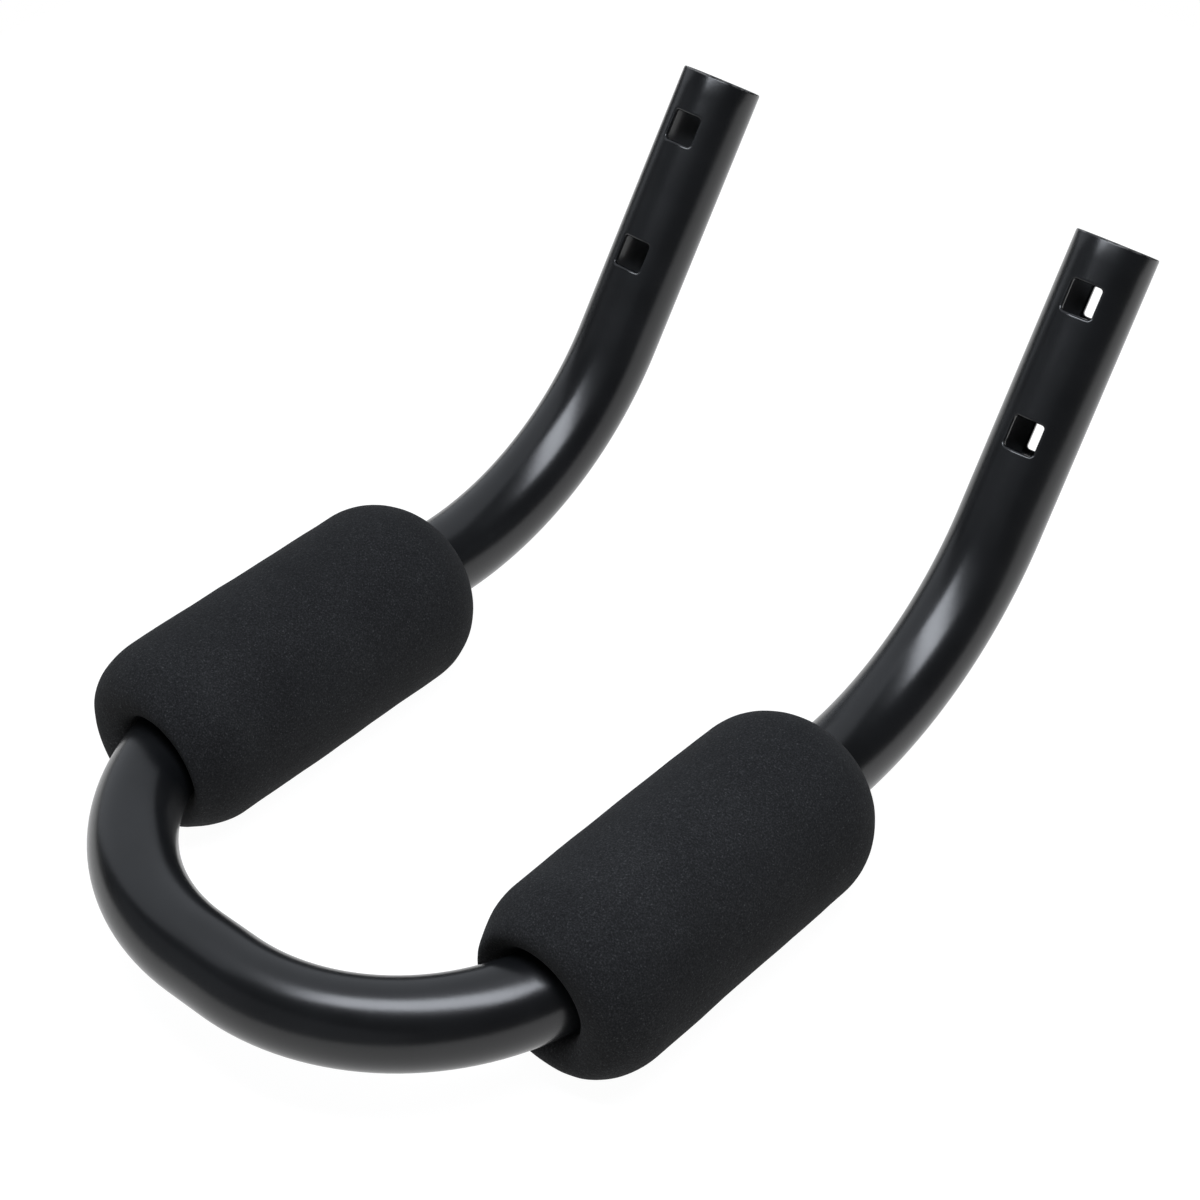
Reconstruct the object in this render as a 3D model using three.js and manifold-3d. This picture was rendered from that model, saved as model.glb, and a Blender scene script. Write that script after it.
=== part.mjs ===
// A close-grip handle for a pull-up bar: one bent steel tube and two foam grips.
// Units are millimetres, +Z is up. The U lies level with its closed end towards -Y, the two legs
// run towards +Y and rise at the back, and the origin is the middle of the underside.
import * as THREE from 'three';
import { mergeVertices } from 'three/addons/utils/BufferGeometryUtils.js';
import Module from 'manifold-3d';

const wasm = await Module();
wasm.setup();

// Driving dimensions.
const tubeDiameter = 25.4;
const tubeWall = 1.5;
const apexLength = 13.4;
const uBendRadius = 70;
const legToeIn = THREE.MathUtils.degToRad(0.6);
const levelLength = 96.5;
const legBendRadius = 97;
const legBendAngle = THREE.MathUtils.degToRad(54.3);
const legEndLength = 87.5;

const boltHoleWidth = 9.5;
const boltHoleCornerRadius = 1;
const boltHoleFromEnd = [18, 60];
const boltHoleTurn = { left: THREE.MathUtils.degToRad(5), right: THREE.MathUtils.degToRad(8.5) };

const gripDiameter = 59.5;
const gripLength = 127;
const gripEndRadius = 24;
const gripFit = 0.3;
const gripMouthRadius = 14.5;
const gripMouthRounding = 5;
const gripPastBend = { left: 36, right: 31.5 };

// How finely round shapes are cut into flats.
const tubeSides = 20;
const uBendSteps = 9;
const legBendSteps = 8;
const straightSteps = 1;
const gripSides = 32;
const gripEndSteps = 4;
const holeCornerSteps = 2;

const tubeRadius = tubeDiameter / 2;
const gripRadius = gripDiameter / 2;
const up = new THREE.Vector3(0, 0, 1);

// A straight stretch of the centreline.
function straight(start, direction, length, steps) {
  return {
    steps,
    end: start.clone().addScaledVector(direction, length),
    endDirection: direction,
    at(part) {
      return {
        point: start.clone().addScaledVector(direction, part * length),
        tangent: direction.clone(),
      };
    },
  };
}

// A round bend of the centreline that turns from one direction towards a side.
function bend(start, direction, side, radius, angle, steps) {
  function at(part) {
    const turned = part * angle;
    return {
      point: start.clone()
        .addScaledVector(direction, radius * Math.sin(turned))
        .addScaledVector(side, radius * (1 - Math.cos(turned))),
      tangent: direction.clone()
        .multiplyScalar(Math.cos(turned))
        .addScaledVector(side, Math.sin(turned)),
    };
  }
  return { steps, end: at(1).point, endDirection: at(1).tangent, at };
}

// The right half of the centreline, from the middle of the U to the end of the leg. Its zero point
// is the centre of the U, level with the end of the bends.
const apex = straight(
  new THREE.Vector3(0, -uBendRadius, 0),
  new THREE.Vector3(1, 0, 0),
  apexLength / 2,
  straightSteps,
);
const uBend = bend(
  apex.end,
  apex.endDirection,
  new THREE.Vector3(0, 1, 0),
  uBendRadius,
  Math.PI / 2 + legToeIn,
  uBendSteps,
);
const level = straight(uBend.end, uBend.endDirection, levelLength, straightSteps);
const legBend = bend(
  level.end,
  level.endDirection,
  up,
  legBendRadius,
  legBendAngle,
  legBendSteps,
);
const legEnd = straight(legBend.end, legBend.endDirection, legEndLength, straightSteps);

const frontEdge = -uBendRadius - tubeRadius;
const backEdge = legEnd.end.y + tubeRadius * Math.sin(legBendAngle);
const centreOfU = new THREE.Vector3(0, -(frontEdge + backEdge) / 2, gripRadius);

// The whole centreline, from the end of the left leg to the end of the right leg. It is cut at
// each bend's own steps, so a straight stretch takes one step however long it is.
class Centreline extends THREE.Curve {
  constructor(pieces) {
    super();
    this.pieces = pieces;
    this.halfSteps = pieces.reduce((sum, piece) => sum + piece.steps, 0);
  }

  locate(t) {
    let step = Math.abs(2 * t - 1) * this.halfSteps;
    for (const piece of this.pieces) {
      if (step <= piece.steps) {
        return piece.at(step / piece.steps);
      }
      step -= piece.steps;
    }
    return this.pieces.at(-1).at(1);
  }

  getPoint(t, target = new THREE.Vector3()) {
    const { point } = this.locate(t);
    return target.set(t < 0.5 ? -point.x : point.x, point.y, point.z);
  }

  getTangent(t, target = new THREE.Vector3()) {
    const { tangent } = this.locate(t);
    const mirrored = t < 0.5;
    return target.set(
      tangent.x,
      mirrored ? -tangent.y : tangent.y,
      mirrored ? -tangent.z : tangent.z,
    );
  }

  getUtoTmapping(u) {
    return u;
  }
}

const centreline = new Centreline([apex, uBend, level, legBend, legEnd]);

// A round section swept along the whole centreline, solid or with a bore.
function sweep(radius, boreRadius) {
  const section = new THREE.Shape();
  section.absarc(0, 0, radius, 0, 2 * Math.PI);
  if (boreRadius) {
    const bore = new THREE.Path();
    bore.absarc(0, 0, boreRadius, 0, 2 * Math.PI);
    section.holes.push(bore);
  }
  return new THREE.ExtrudeGeometry(section, {
    steps: 2 * centreline.halfSteps,
    curveSegments: tubeSides / 2,
    extrudePath: centreline,
  });
}

function toSolid(geometry) {
  const bare = geometry.clone();
  bare.deleteAttribute('normal');
  bare.deleteAttribute('uv');
  const merged = mergeVertices(bare);
  return new wasm.Manifold(new wasm.Mesh({
    numProp: 3,
    vertProperties: new Float32Array(merged.attributes.position.array),
    triVerts: new Uint32Array(merged.index.array),
  }));
}

function toGeometry(solid) {
  const mesh = solid.getMesh();
  const geometry = new THREE.BufferGeometry();
  geometry.setAttribute('position', new THREE.BufferAttribute(mesh.vertProperties, 3));
  geometry.setIndex(new THREE.BufferAttribute(mesh.triVerts, 1));
  geometry.computeVertexNormals();
  return geometry;
}

// Directions of one leg: along its straight end, and square to it, out of its front.
function legFrame(side) {
  const along = legEnd.endDirection.clone();
  const front = up.clone().addScaledVector(along, -up.dot(along)).normalize();
  const end = legEnd.end.clone();
  for (const vector of [along, front, end]) {
    vector.x *= side;
  }
  return { along, front, end };
}

// A square hole with small corner radii, right through both walls of one leg. It is turned about
// the leg's own axis, away from the leg's front towards +X.
function boltHoleCutter(side, fromEnd) {
  const half = boltHoleWidth / 2;
  const inner = half - boltHoleCornerRadius;
  const outline = new THREE.Shape();
  outline.absarc(inner, inner, boltHoleCornerRadius, 0, Math.PI / 2);
  outline.absarc(-inner, inner, boltHoleCornerRadius, Math.PI / 2, Math.PI);
  outline.absarc(-inner, -inner, boltHoleCornerRadius, Math.PI, 1.5 * Math.PI);
  outline.absarc(inner, -inner, boltHoleCornerRadius, 1.5 * Math.PI, 2 * Math.PI);
  const depth = 1.5 * tubeDiameter;
  const geometry = new THREE.ExtrudeGeometry(outline, {
    depth,
    bevelEnabled: false,
    curveSegments: holeCornerSteps,
  });
  geometry.translate(0, 0, -depth / 2);

  const { along, front, end } = legFrame(side);
  const centre = end.addScaledVector(along, -fromEnd);
  const turn = side > 0 ? boltHoleTurn.right : boltHoleTurn.left;
  const through = front.clone()
    .multiplyScalar(Math.cos(turn))
    .addScaledVector(along.clone().cross(front), Math.sin(turn));
  const across = along.clone().cross(through);
  geometry.applyMatrix4(new THREE.Matrix4().makeBasis(across, along, through).setPosition(centre));
  return toSolid(geometry);
}

function makeTube() {
  let tube = toSolid(sweep(tubeRadius, tubeRadius - tubeWall));
  for (const side of [-1, 1]) {
    for (const fromEnd of boltHoleFromEnd) {
      tube = tube.subtract(boltHoleCutter(side, fromEnd));
    }
  }
  return toGeometry(tube);
}

// The section of a grip, turned about its own axis. The outside is rounded off at both ends. At
// the end towards the U the bore opens into a wider mouth with a rounded edge.
function gripSection() {
  const section = new THREE.Shape();
  const pilotRadius = gripRadius - gripEndRadius;
  const mouthCentre = gripMouthRadius + gripMouthRounding;
  const across = mouthCentre - pilotRadius;
  const down = Math.sqrt((gripEndRadius - gripMouthRounding) ** 2 - across ** 2);
  const meeting = -Math.atan2(down, across);
  const mouthDepth = gripEndRadius - down;
  section.moveTo(pilotRadius, mouthDepth);
  section.lineTo(gripMouthRadius, mouthDepth);
  section.absarc(mouthCentre, mouthDepth, gripMouthRounding, Math.PI, 2 * Math.PI + meeting);
  section.absarc(pilotRadius, gripEndRadius, gripEndRadius, meeting, 0);
  section.absarc(pilotRadius, gripLength - gripEndRadius, gripEndRadius, 0, Math.PI / 2);
  section.closePath();
  return section.getPoints(gripEndSteps);
}

// The bore is cut by the tube's own sweep, a little larger, so it follows the start of the bend.
function makeGrip(side, pastBend) {
  const foam = new THREE.LatheGeometry(gripSection(), gripSides);
  const axis = uBend.endDirection.clone();
  const start = uBend.end.clone().addScaledVector(axis, -pastBend);
  axis.x *= side;
  start.x *= side;
  const turn = new THREE.Quaternion().setFromUnitVectors(new THREE.Vector3(0, 1, 0), axis);
  foam.applyQuaternion(turn);
  foam.translate(start.x, start.y, start.z);
  return toGeometry(toSolid(foam).subtract(toSolid(sweep(tubeRadius + gripFit))));
}

const powderCoat = new THREE.MeshStandardMaterial({
  color: 0x17181a,
  roughness: 0.35,
  metalness: 0.2,
});
const foamRubber = new THREE.MeshStandardMaterial({
  color: 0x202224,
  roughness: 0.95,
  metalness: 0,
});

function addMesh(group, name, geometry, material) {
  const mesh = new THREE.Mesh(geometry, material);
  mesh.name = name;
  mesh.position.copy(centreOfU);
  group.add(mesh);
}

const handle = new THREE.Group();
handle.name = 'pull_up_bar_handle';
addMesh(handle, 'bent_tube', makeTube(), powderCoat);
addMesh(handle, 'left_foam_grip', makeGrip(-1, gripPastBend.left), foamRubber);
addMesh(handle, 'right_foam_grip', makeGrip(1, gripPastBend.right), foamRubber);

export default handle;
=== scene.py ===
"""A close-grip handle for a pull-up bar: one bent steel tube and two thick foam grips.

Lengths are metres. Angles are radians, apart from the camera's and the lights', which are degrees.
The frame is the CAD model's: +Z is up, the closed end of the U points towards -Y, and the two legs
run towards +Y and rise at the back.
"""
import math

import bpy
from mathutils import Matrix, Vector, noise


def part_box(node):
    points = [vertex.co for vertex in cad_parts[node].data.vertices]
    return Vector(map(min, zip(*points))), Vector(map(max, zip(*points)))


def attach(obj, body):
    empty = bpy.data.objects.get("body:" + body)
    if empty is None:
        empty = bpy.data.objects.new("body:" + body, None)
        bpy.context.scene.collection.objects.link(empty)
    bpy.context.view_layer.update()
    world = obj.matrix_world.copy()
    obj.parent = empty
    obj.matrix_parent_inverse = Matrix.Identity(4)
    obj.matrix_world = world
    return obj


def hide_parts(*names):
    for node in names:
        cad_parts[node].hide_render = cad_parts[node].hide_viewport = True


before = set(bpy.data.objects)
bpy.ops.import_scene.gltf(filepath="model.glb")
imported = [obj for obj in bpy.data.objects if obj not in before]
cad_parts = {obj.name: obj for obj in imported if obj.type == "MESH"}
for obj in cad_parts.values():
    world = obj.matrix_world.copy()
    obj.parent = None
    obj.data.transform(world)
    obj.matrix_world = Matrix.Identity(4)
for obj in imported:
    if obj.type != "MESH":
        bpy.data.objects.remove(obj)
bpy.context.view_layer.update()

UP = Vector((0, 0, 1))

# Driving dimensions of the tube.
TUBE_RADIUS = 0.0127
TUBE_WALL = 0.0015
APEX_LENGTH = 0.0134
U_BEND_RADIUS = 0.070
LEG_TOE_IN = math.radians(0.6)
LEVEL_LENGTH = 0.0965
LEG_BEND_RADIUS = 0.097
LEG_BEND_ANGLE = math.radians(54.3)
LEG_END_LENGTH = 0.0875
END_ROUNDING = 0.0005

# The square bolt holes, right through both walls of each leg, and how far they are turned about
# the leg's own axis towards +X.
HOLE_WIDTH = 0.0095
HOLE_CORNER_RADIUS = 0.001
HOLE_RIM_RADIUS = 0.0008
HOLE_FROM_END = (0.018, 0.060)
HOLE_TURN = {"left": math.radians(5), "right": math.radians(8.5)}

# Driving dimensions of the foam grips.
GRIP_RADIUS = 0.02975
GRIP_LENGTH = 0.127
GRIP_END_RADIUS = 0.024
GRIP_BORE_RADIUS = 0.0128
GRIP_MOUTH_RADIUS = 0.0140
GRIP_MOUTH_ROUNDING = 0.006
GRIP_MOUTH_DEPTH = 0.004
GRIP_PAST_BEND = {"left": 0.036, "right": 0.0315}

# How finely the tube is divided: round its section, along it, and over its rounded edges.
TUBE_SIDES = 96
STEP_IN_BEND = 0.003
STEP_ON_STRAIGHT = 0.006
OUTER_EDGE_STEPS = 4
INNER_EDGE_STEPS = 3
HOLE_RIM_STEPS = 5
TUBE_SHARP_ANGLE = math.radians(50)

# The patch of skin round each hole: its cells each way, its size, and how far two more loops of
# points lie on the way from its border to the hole's rim.
PATCH_CELLS = 16
PATCH_HALF_LENGTH = 0.00665
PATCH_HALF_ANGLE = PATCH_CELLS * math.pi / TUBE_SIDES
PATCH_LOOP_SHARES = (0.4, 0.75)

# How worn the coat is at the cut ends, from 0 to 1.
OUTER_EDGE_WEAR = 0.6
CUT_WEAR = 1.0
INNER_EDGE_WEAR = 0.4


class Stretch:
    """A straight stretch of the tube's centreline, or an even bend towards one side."""

    def __init__(self, start, direction, length, side=None, radius=None):
        self.start = start
        self.direction = direction
        self.length = length
        self.side = side
        self.radius = radius

    def at(self, distance):
        """The point and the direction at a distance from the stretch's start."""
        if self.side is None:
            return self.start + self.direction * distance, self.direction.copy()
        turned = distance / self.radius
        point = (
            self.start
            + self.direction * (self.radius * math.sin(turned))
            + self.side * (self.radius * (1 - math.cos(turned)))
        )
        return point, self.direction * math.cos(turned) + self.side * math.sin(turned)

    def end(self):
        return self.at(self.length)


tube_low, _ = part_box("bent_tube")
u_centre = Vector((0, tube_low.y + U_BEND_RADIUS + TUBE_RADIUS, tube_low.z + TUBE_RADIUS))

apex = Stretch(u_centre - Vector((0, U_BEND_RADIUS, 0)), Vector((1, 0, 0)), APEX_LENGTH / 2)
u_bend = Stretch(
    *apex.end(),
    U_BEND_RADIUS * (math.pi / 2 + LEG_TOE_IN),
    side=Vector((0, 1, 0)),
    radius=U_BEND_RADIUS,
)
level = Stretch(*u_bend.end(), LEVEL_LENGTH)
leg_bend = Stretch(
    *level.end(),
    LEG_BEND_RADIUS * LEG_BEND_ANGLE,
    side=UP,
    radius=LEG_BEND_RADIUS,
)
leg_end = Stretch(*leg_bend.end(), LEG_END_LENGTH)
HALF_ROUTE = (apex, u_bend, level, leg_bend, leg_end)
HALF_LENGTH = sum(stretch.length for stretch in HALF_ROUTE)


def section_turn(distance):
    """How far the section is turned, so that its top looks through the bolt holes on each leg."""
    reach = HALF_LENGTH - LEG_END_LENGTH
    share = (min(reach, max(-reach, distance)) / reach + 1) / 2
    return -HOLE_TURN["left"] * (1 - share) + HOLE_TURN["right"] * share


def tube_frame(distance):
    """Point, along, across and top of the centreline, at a distance from the middle of the U.

    Distances to the right are positive and to the left negative. Across points out of the U, and
    top points up on the level stretches and out of the front of the legs, each turned a little
    with the section.
    """
    left = abs(distance)
    for stretch in HALF_ROUTE:
        if left <= stretch.length or stretch is leg_end:
            break
        left -= stretch.length
    point, along = stretch.at(left)
    if distance < 0:
        point = Vector((-point.x, point.y, point.z))
        along = Vector((along.x, -along.y, -along.z))
    outward = along.cross(UP).normalized()
    above = outward.cross(along)
    turn = section_turn(distance)
    across = outward * math.cos(turn) - above * math.sin(turn)
    return point, along, across, across.cross(along)


def even_steps(start, end, longest):
    """Values from start up to end, without end, that are at most longest apart."""
    round_off = 1e-6
    count = max(1, math.ceil((end - start) / longest - round_off))
    return [start + (end - start) * i / count for i in range(count)]


def half_stations():
    """Distances from the middle of the U to the start of the end rounding, in order."""
    stations = []
    start = 0.0
    for stretch in HALF_ROUTE[:-1]:
        longest = STEP_IN_BEND if stretch.side else STEP_ON_STRAIGHT
        stations += even_steps(start, start + stretch.length, longest)
        start += stretch.length
    cell = 2 * PATCH_HALF_LENGTH / PATCH_CELLS
    for from_end in sorted(HOLE_FROM_END, reverse=True):
        patch_start = HALF_LENGTH - from_end - PATCH_HALF_LENGTH
        patch_end = patch_start + 2 * PATCH_HALF_LENGTH
        stations += even_steps(start, patch_start, STEP_ON_STRAIGHT)
        stations += even_steps(patch_start, patch_end, cell)
        start = patch_end
    stations += even_steps(start, HALF_LENGTH - END_ROUNDING, STEP_ON_STRAIGHT)
    return stations + [HALF_LENGTH - END_ROUNDING]


def quarter_turn(steps):
    """Sine and cosine of evenly spaced angles inside a quarter turn, its ends left out."""
    angles = [math.pi / 2 * i / steps for i in range(1, steps)]
    return [(math.sin(angle), math.cos(angle)) for angle in angles]


def rounded_square(column, row, half_width, corner_radius):
    """The point on a rounded square that belongs to a point on the border of a patch.

    Column and row run from -1 to 1, and one of them is -1 or 1. The middle three quarters of each
    side of the patch go to a straight side and the rest to the corners.
    """
    straight_share = 0.75
    swapped = abs(row) > abs(column)
    major, minor = (row, column) if swapped else (column, row)
    inner = half_width - corner_radius
    if abs(minor) <= straight_share:
        far, near = half_width, inner * abs(minor) / straight_share
    else:
        turned = math.pi / 4 * (abs(minor) - straight_share) / (1 - straight_share)
        far = inner + corner_radius * math.cos(turned)
        near = inner + corner_radius * math.sin(turned)
    far = math.copysign(far, major)
    near = math.copysign(near, minor)
    return (near, far) if swapped else (far, near)


class TubeMesh:
    """The tube as one closed skin: its outside, its bore, its two cut ends and its bolt holes."""

    def __init__(self):
        self.points = []
        self.faces = []
        self.wear = []
        self.inside = []
        half = half_stations()
        self.stations = [-distance for distance in reversed(half[1:])] + half
        self.outer_rows = []
        self.inner_rows = []
        self.rings = []
        self.add_skin()
        self.add_holes()

    def add_ring(self, distance, radius, wear=0.0):
        point, _, across, top = tube_frame(distance)
        first = len(self.points)
        for side in range(TUBE_SIDES):
            angle = 2 * math.pi * side / TUBE_SIDES
            outward = across * math.cos(angle) + top * math.sin(angle)
            self.points.append(point + outward * radius)
            self.wear.append(wear)
            self.inside.append(1.0 if radius <= TUBE_RADIUS - TUBE_WALL else 0.0)
        self.rings.append(first)
        return first

    def add_end(self, sign):
        """The cut end, from the outside over its rounded edges to the bore, or back for sign -1."""
        bore = TUBE_RADIUS - TUBE_WALL
        profile = []
        for sine, cosine in quarter_turn(OUTER_EDGE_STEPS):
            radius = TUBE_RADIUS - END_ROUNDING * (1 - cosine)
            profile.append((1 - sine, radius, OUTER_EDGE_WEAR))
        profile.append((0.0, TUBE_RADIUS - END_ROUNDING, CUT_WEAR))
        profile.append((0.0, bore + END_ROUNDING, CUT_WEAR))
        for sine, cosine in quarter_turn(INNER_EDGE_STEPS):
            radius = bore + END_ROUNDING * (1 - sine)
            profile.append((1 - cosine, radius, INNER_EDGE_WEAR))
        for back, radius, wear in profile if sign > 0 else reversed(profile):
            self.add_ring(sign * (HALF_LENGTH - END_ROUNDING * back), radius, wear)

    def add_skin(self):
        self.outer_rows = [self.add_ring(s, TUBE_RADIUS) for s in self.stations]
        self.add_end(1)
        bore_rows = [self.add_ring(s, TUBE_RADIUS - TUBE_WALL) for s in reversed(self.stations)]
        self.inner_rows = bore_rows[::-1]
        self.add_end(-1)
        open_cells = self.hole_cells()
        for number, first in enumerate(self.rings):
            after = self.rings[(number + 1) % len(self.rings)]
            for side in range(TUBE_SIDES):
                if (first, side) in open_cells:
                    continue
                beyond = (side + 1) % TUBE_SIDES
                self.faces.append((first + side, after + side, after + beyond, first + beyond))

    def holes(self):
        """Each hole of each wall.

        It is given as the distance of its middle from the middle of the U, the station and the
        side that its patch starts at, and 1 for the front wall or -1 for the rear one.
        """
        for sign in (-1, 1):
            for from_end in HOLE_FROM_END:
                middle = sign * (HALF_LENGTH - from_end)
                start = middle - PATCH_HALF_LENGTH
                nearest = min(self.stations, key=lambda station: abs(station - start))
                station = self.stations.index(nearest)
                for wall, middle_side in ((1, TUBE_SIDES // 4), (-1, 3 * TUBE_SIDES // 4)):
                    yield middle, station, middle_side - PATCH_CELLS // 2, wall

    def hole_cells(self):
        """The cells of the skin that a patch takes the place of, as (ring, side)."""
        cells = set()
        for _, station, first_side, _ in self.holes():
            for row in range(PATCH_CELLS):
                for side in range(first_side, first_side + PATCH_CELLS):
                    cells.add((self.outer_rows[station + row], side))
                    cells.add((self.inner_rows[station + row + 1], side))
        return cells

    def add_holes(self):
        last = PATCH_CELLS
        border = [(row, 0) for row in range(last)]
        border += [(last, column) for column in range(last)]
        border += [(last - row, last) for row in range(last)]
        border += [(0, last - column) for column in range(last)]
        for middle, station, first_side, wall in self.holes():
            self.add_hole(border, middle, station, first_side, wall)

    def add_hole(self, border, middle, station, first_side, wall):
        point, along, across, top = tube_frame(middle)
        bore = TUBE_RADIUS - TUBE_WALL
        shares = [(2 * c / PATCH_CELLS - 1, 2 * r / PATCH_CELLS - 1) for r, c in border]

        def on_border(radius):
            """The patch's border on one skin, as places across and along."""
            return [
                (radius * math.sin(column * PATCH_HALF_ANGLE), row * PATCH_HALF_LENGTH)
                for column, row in shares
            ]

        def outline(widening):
            """The hole's outline, made wider all round."""
            return [
                rounded_square(
                    column, row, HOLE_WIDTH / 2 + widening, HOLE_CORNER_RADIUS + widening
                )
                for column, row in shares
            ]

        def between(first, second, share):
            return [
                (a[0] + (b[0] - a[0]) * share, a[1] + (b[1] - a[1]) * share)
                for a, b in zip(first, second)
            ]

        def add_loop(places, radius, depth):
            """A loop of points at a depth under the round skin of that radius."""
            first = len(self.points)
            for x, y in places:
                height = math.sqrt(radius ** 2 - x ** 2) - depth
                self.points.append(point + across * (-wall * x) + along * y + top * (wall * height))
                self.wear.append(0.0)
                self.inside.append(0.0)
            return list(range(first, first + len(places)))

        outer = on_border(TUBE_RADIUS)
        inner = on_border(bore)
        rim = outline(HOLE_RIM_RADIUS)
        loops = [[self.outer_rows[station + row] + first_side + column for row, column in border]]
        for share in PATCH_LOOP_SHARES:
            loops.append(add_loop(between(outer, rim, share), TUBE_RADIUS, 0))
        loops.append(add_loop(rim, TUBE_RADIUS, 0))
        for sine, cosine in quarter_turn(HOLE_RIM_STEPS):
            widening = HOLE_RIM_RADIUS * (1 - sine)
            depth = HOLE_RIM_RADIUS * (1 - cosine)
            loops.append(add_loop(outline(widening), TUBE_RADIUS, depth))
        loops.append(add_loop(outline(0), TUBE_RADIUS, HOLE_RIM_RADIUS))
        loops.append(add_loop(outline(0), bore, 0))
        loops.append(add_loop(between(outline(0), inner, 0.5), bore, 0))
        loops.append([self.inner_rows[station + row] + first_side + column for row, column in border])
        for loop, after in zip(loops, loops[1:]):
            for i in range(len(loop)):
                j = (i + 1) % len(loop)
                self.faces.append((loop[i], loop[j], after[j], after[i]))


def make_object(name, points, faces, sharp_angle):
    """A smooth-shaded object with sharp edges where two faces meet at more than an angle."""
    mesh = bpy.data.meshes.new(name)
    mesh.from_pydata(points, [], faces)
    mesh.validate()
    mesh.shade_smooth()
    mesh.set_sharp_from_angle(angle=sharp_angle)
    made = bpy.data.objects.new(name, mesh)
    bpy.context.scene.collection.objects.link(made)
    return made


def make_tube():
    tube = TubeMesh()
    made = make_object("handle_tube", tube.points, tube.faces, TUBE_SHARP_ANGLE)
    for name, values in (("wear", tube.wear), ("inside", tube.inside)):
        attribute = made.data.attributes.new(name, "FLOAT", "POINT")
        attribute.data.foreach_set("value", values)
    return made


# How finely a grip is divided: round its axis, over its rounded ends, and along its side and bore.
GRIP_SIDES = 128
END_ARC_STEPS = 14
MOUTH_ARC_STEPS = 10
GRIP_STEP = 0.006
BORE_STEP = 0.003
GRIP_SHARP_ANGLE = math.radians(70)

# The bore's first ring lies this far inside the mouth, and its far edge is bevelled by this much.
BORE_START = 0.002
BORE_BEVEL = 0.0006

# The foam's lumps: how many there are in a metre and how high they stand, for a large and a small
# kind, and how far the foam is drawn in under them to keep its size.
GRIP_LUMPS = ((45, 0.00035), (160, 0.00012))
LUMP_INSET = 0.0002

# The foam follows the tube's bend and is smooth this near the bore. It keeps straight, and has its
# full lumps, this near the side.
BORE_SKIN = 0.001
STRAIGHT_SKIN = 0.002
LUMPY_SKIN = 0.004


def arc(centre_along, centre_radius, radius, start, end, steps):
    """Points (along, radius) of an arc. At angle 0 it faces out, at a quarter turn along."""
    angles = [start + (end - start) * i / steps for i in range(steps + 1)]
    return [
        (centre_along + radius * math.sin(angle), centre_radius + radius * math.cos(angle))
        for angle in angles
    ]


def grip_profile():
    """The foam's closed outline, as (along, radius), from the mouth round the outside and back."""
    pilot = GRIP_RADIUS - GRIP_END_RADIUS
    mouth = GRIP_MOUTH_RADIUS + GRIP_MOUTH_ROUNDING
    down = math.sqrt((GRIP_END_RADIUS - GRIP_MOUTH_ROUNDING) ** 2 - (mouth - pilot) ** 2)
    meeting = -math.atan2(down, mouth - pilot)
    mouth_depth = GRIP_END_RADIUS - down
    profile = arc(mouth_depth, mouth, GRIP_MOUTH_ROUNDING, -math.pi, meeting, MOUTH_ARC_STEPS)
    profile += arc(GRIP_END_RADIUS, pilot, GRIP_END_RADIUS, meeting, 0, END_ARC_STEPS)[1:]
    far = GRIP_LENGTH - GRIP_END_RADIUS
    profile += [(a, GRIP_RADIUS) for a in even_steps(GRIP_END_RADIUS, far, GRIP_STEP)[1:]]
    bore_angle = math.acos((GRIP_BORE_RADIUS + BORE_BEVEL - pilot) / GRIP_END_RADIUS)
    profile += arc(far, pilot, GRIP_END_RADIUS, 0, bore_angle, 2 * END_ARC_STEPS)
    end_along, _ = profile[-1]
    bore = even_steps(mouth_depth + BORE_START, end_along - BORE_BEVEL, BORE_STEP)
    for along in reversed(bore):
        deep = min(1, (along - mouth_depth) / GRIP_MOUTH_DEPTH)
        widening = (GRIP_MOUTH_RADIUS - GRIP_BORE_RADIUS) * (1 - deep) ** 2
        profile.append((along, GRIP_BORE_RADIUS + widening))
    return profile


def smooth_step(value, start, end):
    """From 0 before start to 1 after end, easing out of the one and into the other."""
    share = min(1, max(0, (value - start) / (end - start)))
    return share * share * (3 - 2 * share)


def make_grip(side):
    """A foam grip. Its bore and its mouth follow the tube into the bend of the U."""
    past_bend = GRIP_PAST_BEND[side]
    end, axis = u_bend.end()
    sign = 1 if side == "right" else -1
    start = end - axis * past_bend
    start.x *= sign
    axis = Vector((axis.x * sign, axis.y, axis.z))
    inward = Vector((-sign * axis.y, sign * axis.x, 0))
    outward = -inward
    points = []
    profile = grip_profile()
    for along, radius in profile:
        in_bend = max(0, past_bend - along)
        shift = U_BEND_RADIUS - math.sqrt(U_BEND_RADIUS ** 2 - in_bend ** 2)
        skin = GRIP_BORE_RADIUS + BORE_SKIN
        follows = 1 - smooth_step(radius, skin, GRIP_RADIUS - STRAIGHT_SKIN)
        softness = smooth_step(radius, skin, GRIP_RADIUS - LUMPY_SKIN)
        centre = start + axis * along + inward * (shift * follows)
        for i in range(GRIP_SIDES):
            angle = 2 * math.pi * i / GRIP_SIDES
            direction = outward * math.cos(angle) + UP * math.sin(angle)
            point = centre + direction * radius
            lump = sum(noise.noise(point * count) * height for count, height in GRIP_LUMPS)
            points.append(point + direction * (lump * softness - LUMP_INSET * softness))
    faces = []
    rings = len(profile)
    for ring in range(rings):
        after = (ring + 1) % rings
        for i in range(GRIP_SIDES):
            j = (i + 1) % GRIP_SIDES
            face = (
                ring * GRIP_SIDES + i,
                after * GRIP_SIDES + i,
                after * GRIP_SIDES + j,
                ring * GRIP_SIDES + j,
            )
            faces.append(face if sign > 0 else face[::-1])
    return make_object(f"{side}_grip_foam", points, faces, GRIP_SHARP_ANGLE)


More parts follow.
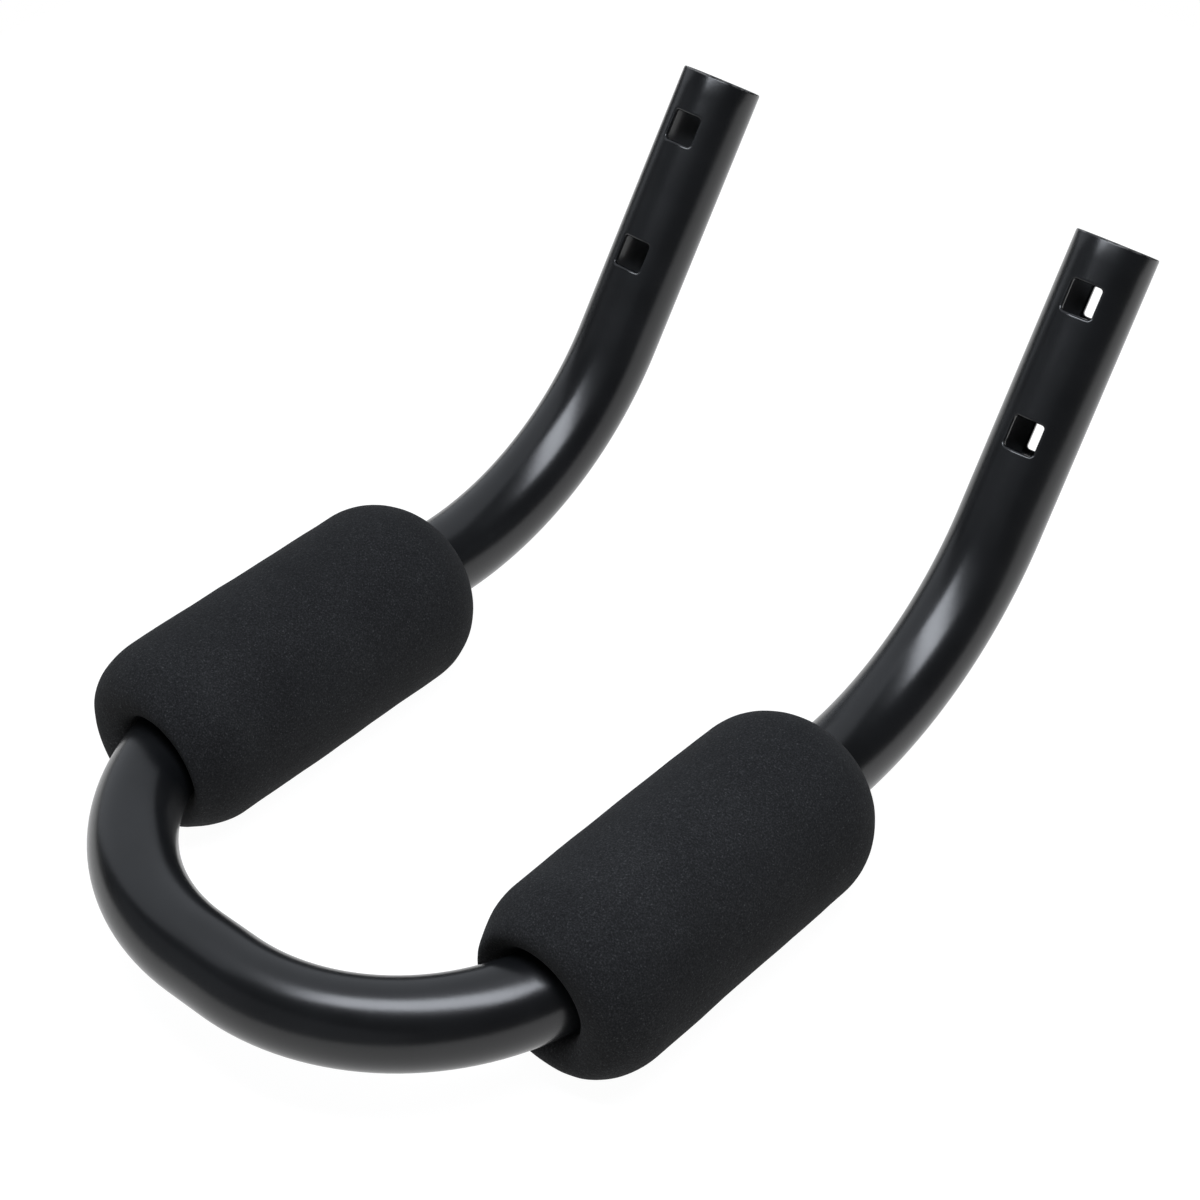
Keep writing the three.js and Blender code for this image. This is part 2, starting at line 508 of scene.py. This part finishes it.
class Nodes:
    """A material's node tree, with short ways to add nodes and to link them."""

    def __init__(self, name):
        self.material = bpy.data.materials.new(name)
        self.material.use_nodes = True
        self.tree = self.material.node_tree
        self.shader = self.tree.nodes["Principled BSDF"]
        self.coordinates = self.add("ShaderNodeTexCoord").outputs["Object"]

    def add(self, kind, **settings):
        made = self.tree.nodes.new(kind)
        for name, value in settings.items():
            setattr(made, name, value)
        return made

    def link(self, output, socket):
        self.tree.links.new(output, socket)

    def noise(self, scale, detail=2.0, roughness=0.5):
        made = self.add("ShaderNodeTexNoise")
        made.inputs["Scale"].default_value = scale
        made.inputs["Detail"].default_value = detail
        made.inputs["Roughness"].default_value = roughness
        self.link(self.coordinates, made.inputs["Vector"])
        return made.outputs["Fac"]

    def cells(self, scale):
        made = self.add("ShaderNodeTexVoronoi")
        made.inputs["Scale"].default_value = scale
        self.link(self.coordinates, made.inputs["Vector"])
        return made.outputs["Distance"]

    def attribute(self, name):
        """A number that is stored at each point of the mesh."""
        return self.add("ShaderNodeAttribute", attribute_name=name).outputs["Fac"]

    def cover(self, below, colour, share):
        """A colour laid over another, by a share from 0 to 1."""
        made = self.add("ShaderNodeMix", data_type="RGBA")
        self.link(share, made.inputs["Factor"])
        self.link(below, made.inputs["A"])
        made.inputs["B"].default_value = (*colour, 1)
        return made.outputs["Result"]

    def ramp(self, factor, *stops):
        """A colour ramp; each stop is a position and a colour of three numbers."""
        made = self.add("ShaderNodeValToRGB")
        elements = made.color_ramp.elements
        while len(elements) < len(stops):
            elements.new(0.5)
        for element, (position, colour) in zip(elements, stops):
            element.position = position
            element.color = (*colour, 1)
        self.link(factor, made.inputs["Fac"])
        return made.outputs["Color"]

    def spread(self, factor, low, high):
        """The factor, from 0 to 1, spread over low to high."""
        made = self.add("ShaderNodeMapRange")
        made.inputs["To Min"].default_value = low
        made.inputs["To Max"].default_value = high
        self.link(factor, made.inputs["Value"])
        return made.outputs["Result"]

    def bump(self, height, strength, distance, below=None):
        """A bumpy normal, on top of another one if that is given."""
        made = self.add("ShaderNodeBump")
        made.inputs["Strength"].default_value = strength
        made.inputs["Distance"].default_value = distance
        self.link(height, made.inputs["Height"])
        if below:
            self.link(below, made.inputs["Normal"])
        return made.outputs["Normal"]

    def set(self, **values):
        """Values for the shader's own sockets, with _ for a space in a socket's name."""
        for name, value in values.items():
            self.shader.inputs[name.replace("_", " ")].default_value = value


# Linear colours of the tube: the coat's darker and lighter tone, bare steel, and the dull bore.
COAT_TONES = ((0.0042, 0.0046, 0.0052), (0.0066, 0.0071, 0.0079))
BARE_STEEL = (0.35, 0.34, 0.33)
DULL_BORE = (0.07, 0.072, 0.075)


def powder_coat():
    """Satin black powder coat, with specks of bare steel at the cut ends and a dull steel bore."""
    nodes = Nodes("powder_coat")
    nodes.set(IOR=1.5)
    darker, lighter = COAT_TONES
    tone = nodes.ramp(nodes.noise(scale=60, detail=3), (0.3, darker), (0.7, lighter))
    # Only the upper part of this noise is above 0, so the bare steel shows in specks.
    specks = nodes.add("ShaderNodeMath", operation="MULTIPLY")
    nodes.link(nodes.attribute("wear"), specks.inputs[0])
    nodes.link(nodes.spread(nodes.noise(scale=420, detail=4), -1.6, 2.0), specks.inputs[1])
    bare = nodes.add("ShaderNodeClamp")
    nodes.link(specks.outputs["Value"], bare.inputs["Value"])
    outside = nodes.cover(tone, BARE_STEEL, bare.outputs["Result"])
    colour = nodes.cover(outside, DULL_BORE, nodes.attribute("inside"))
    gloss = nodes.spread(nodes.noise(scale=90, detail=4), 0.21, 0.29)
    nodes.link(colour, nodes.shader.inputs["Base Color"])
    nodes.link(bare.outputs["Result"], nodes.shader.inputs["Metallic"])
    nodes.link(gloss, nodes.shader.inputs["Roughness"])
    waves = nodes.bump(nodes.noise(scale=620), strength=0.10, distance=0.0001)
    grain = nodes.bump(nodes.noise(scale=3800), strength=0.10, distance=0.00003, below=waves)
    nodes.link(grain, nodes.shader.inputs["Normal"])
    return nodes.material


# The foam's look: the linear colours of its grain, from its pores to its pale specks, and how far
# its large patches darken or lighten them. Each stop starts with its place on the noise.
FOAM_GRAIN = (
    (0.38, (0.0104, 0.0108, 0.0114)),
    (0.50, (0.0158, 0.0163, 0.0171)),
    (0.62, (0.0240, 0.0247, 0.0257)),
    (0.74, (0.0690, 0.0700, 0.0715)),
)
FOAM_PATCHES = ((0.3, (0.80, 0.80, 0.81)), (0.7, (1.1, 1.1, 1.1)))


def foam_rubber():
    """Matte charcoal closed-cell foam: a fine grain, darker pores and a few pale specks."""
    nodes = Nodes("foam")
    nodes.set(IOR=1.4, Specular_IOR_Level=0.06, Sheen_Weight=0.02, Sheen_Roughness=0.6)
    grain = nodes.noise(scale=2100, detail=4, roughness=0.6)
    mottle = nodes.noise(scale=38, detail=4, roughness=0.6)
    colour = nodes.add("ShaderNodeMix", data_type="RGBA", blend_type="MULTIPLY")
    colour.inputs["Factor"].default_value = 1
    nodes.link(nodes.ramp(grain, *FOAM_GRAIN), colour.inputs["A"])
    nodes.link(nodes.ramp(mottle, *FOAM_PATCHES), colour.inputs["B"])
    nodes.link(colour.outputs["Result"], nodes.shader.inputs["Base Color"])
    nodes.link(nodes.spread(mottle, 0.82, 0.95), nodes.shader.inputs["Roughness"])
    pores = nodes.bump(nodes.cells(scale=900), strength=0.35, distance=0.0003)
    skin = nodes.bump(grain, strength=0.5, distance=0.0003, below=pores)
    nodes.link(skin, nodes.shader.inputs["Normal"])
    return nodes.material


def add_piece(piece, material, node):
    """Puts a piece in the place of a CAD node, with a material and the record's slot for it."""
    piece.data.materials.append(material)
    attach(piece, "root")
    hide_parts(node)


def make_handle():
    add_piece(make_tube(), powder_coat(), "bent_tube")
    foam = foam_rubber()
    for side in ("left", "right"):
        grip = make_grip(side)
        add_piece(grip, foam, f"{side}_foam_grip")


# The camera: on which side of the U's centre it stands and how far it is rolled, in degrees, how
# far it stands back, right and above, and its lens and sensor in millimetres.
CAMERA_AZIMUTH = 43.52
CAMERA_ELEVATION = 39.22
CAMERA_ROLL = -2.014
CAMERA_DISTANCE = 0.82398
CAMERA_RIGHT = 0.05623
CAMERA_ABOVE = 0.06355
CAMERA_LENS = 88.21
CAMERA_SENSOR = 36
CAMERA_NEAREST = 0.01
CAMERA_FARTHEST = 20

# The floor: half its side, its grey, and how bright it glows.
FLOOR_HALF = 0.5
FLOOR_GREY = 0.12
FLOOR_GLOW = 0.97

# The lights, with angles in degrees. The softbox's place is measured from the U's centre. Each wall
# has an azimuth and an elevation, a width and a height as seen from the object, and a radiance.
LIGHT_COLOUR = (0.95, 1.0, 1.08)
SOFTBOX_PLACE = Vector((0.136, -0.032, 0.562))
SOFTBOX_AZIMUTH = -19.2
SOFTBOX_ELEVATION = 76.8
SOFTBOX_ROLL = 37.2
SOFTBOX_WIDTH = 0.584
SOFTBOX_HEIGHT = 0.222
SOFTBOX_RADIANCE = 10.0
WALLS = {
    "left_wall": (-122, 38, 92, 76, 0.68),
    "front_wall": (-10, 12, 100, 44, 0.18),
}
WALL_CENTRE = Vector((0, 0, 0.05))
WALL_DISTANCE = 2.5
ROOM_GREY = 0.07


def direction(azimuth, elevation):
    """The direction at an azimuth and an elevation, in degrees.

    Azimuth 0 is in front of the U's closed end and 90 is on the right.
    """
    a = math.radians(azimuth)
    e = math.radians(elevation)
    return Vector((math.sin(a) * math.cos(e), -math.cos(a) * math.cos(e), math.sin(e)))


def right_and_top(back, roll):
    """Where the right and the top of a camera or a light point, if its back points to back.

    It stands level, and is then rolled by an angle in degrees.
    """
    roll = math.radians(roll)
    level = UP.cross(back).normalized()
    right = level * math.cos(roll) + back.cross(level) * math.sin(roll)
    return right, back.cross(right)


def stand(made, place, right, top, back):
    """Puts a camera or a light in its place."""
    turn = Matrix((right, top, back)).transposed().to_4x4()
    made.matrix_world = Matrix.Translation(place) @ turn
    bpy.context.scene.collection.objects.link(made)


def make_camera():
    back = direction(CAMERA_AZIMUTH, CAMERA_ELEVATION)
    right, top = right_and_top(back, CAMERA_ROLL)
    data = bpy.data.cameras.new("camera")
    data.sensor_width = CAMERA_SENSOR
    data.lens = CAMERA_LENS
    data.clip_start = CAMERA_NEAREST
    data.clip_end = CAMERA_FARTHEST
    camera = bpy.data.objects.new("camera", data)
    place = u_centre + back * CAMERA_DISTANCE + right * CAMERA_RIGHT + top * CAMERA_ABOVE
    stand(camera, place, right, top, back)
    bpy.context.scene.camera = camera


def make_floor():
    """A white table top, level with the underside of the grips. It glows, to drown the shadows."""
    half = FLOOR_HALF
    corners = [(-half, -half, 0), (half, -half, 0), (half, half, 0), (-half, half, 0)]
    mesh = bpy.data.meshes.new("floor")
    mesh.from_pydata(corners, [], [(0, 1, 2, 3)])
    floor = bpy.data.objects.new("floor", mesh)
    bpy.context.scene.collection.objects.link(floor)
    nodes = Nodes("floor_white")
    grey = (FLOOR_GREY, FLOOR_GREY, FLOOR_GREY, 1)
    nodes.set(Base_Color=grey, Roughness=0.9, Specular_IOR_Level=0)
    nodes.set(Emission_Color=(1, 1, 1, 1), Emission_Strength=FLOOR_GLOW)
    mesh.materials.append(nodes.material)


def add_panel(name, place, back, roll, width, height, radiance):
    """A soft rectangular light that the camera doesn't see, rolled by an angle in degrees."""
    data = bpy.data.lights.new(name, "AREA")
    data.shape = "RECTANGLE"
    data.size = width
    data.size_y = height
    data.color = LIGHT_COLOUR
    data.energy = radiance * math.pi * width * height
    light = bpy.data.objects.new(name, data)
    light.visible_camera = False
    stand(light, place, *right_and_top(back, roll), back)


def add_wall(name, azimuth, elevation, width, height, radiance):
    """A far panel that faces the object. Its place and its size are in degrees, as seen from it."""
    back = direction(azimuth, elevation)
    across = 2 * WALL_DISTANCE * math.tan(math.radians(width / 2))
    upwards = 2 * WALL_DISTANCE * math.tan(math.radians(height / 2))
    add_panel(name, WALL_CENTRE + back * WALL_DISTANCE, back, 0, across, upwards, radiance)


def make_lights():
    """A softbox close above the U, a pale wall at the back left and a dim one in front."""
    add_panel(
        "softbox",
        u_centre + SOFTBOX_PLACE,
        direction(SOFTBOX_AZIMUTH, SOFTBOX_ELEVATION),
        SOFTBOX_ROLL,
        SOFTBOX_WIDTH,
        SOFTBOX_HEIGHT,
        SOFTBOX_RADIANCE,
    )
    for name, wall in WALLS.items():
        add_wall(name, *wall)


def make_world():
    """A grey room that lights the object dimly. The camera sees a plain white backdrop instead."""
    world = bpy.data.worlds.new("studio")
    bpy.context.scene.world = world
    world.use_nodes = True
    tree = world.node_tree
    room = tree.nodes["Background"]
    room.inputs["Color"].default_value = (ROOM_GREY, ROOM_GREY, ROOM_GREY, 1)
    backdrop = tree.nodes.new("ShaderNodeBackground")
    backdrop.inputs["Color"].default_value = (1, 1, 1, 1)
    path = tree.nodes.new("ShaderNodeLightPath")
    choice = tree.nodes.new("ShaderNodeMixShader")
    tree.links.new(path.outputs["Is Camera Ray"], choice.inputs["Fac"])
    tree.links.new(room.outputs["Background"], choice.inputs[1])
    tree.links.new(backdrop.outputs["Background"], choice.inputs[2])
    tree.links.new(choice.outputs["Shader"], tree.nodes["World Output"].inputs["Surface"])


bpy.context.scene.view_settings.view_transform = "Standard"
make_camera()
make_floor()
make_lights()
make_world()
make_handle()
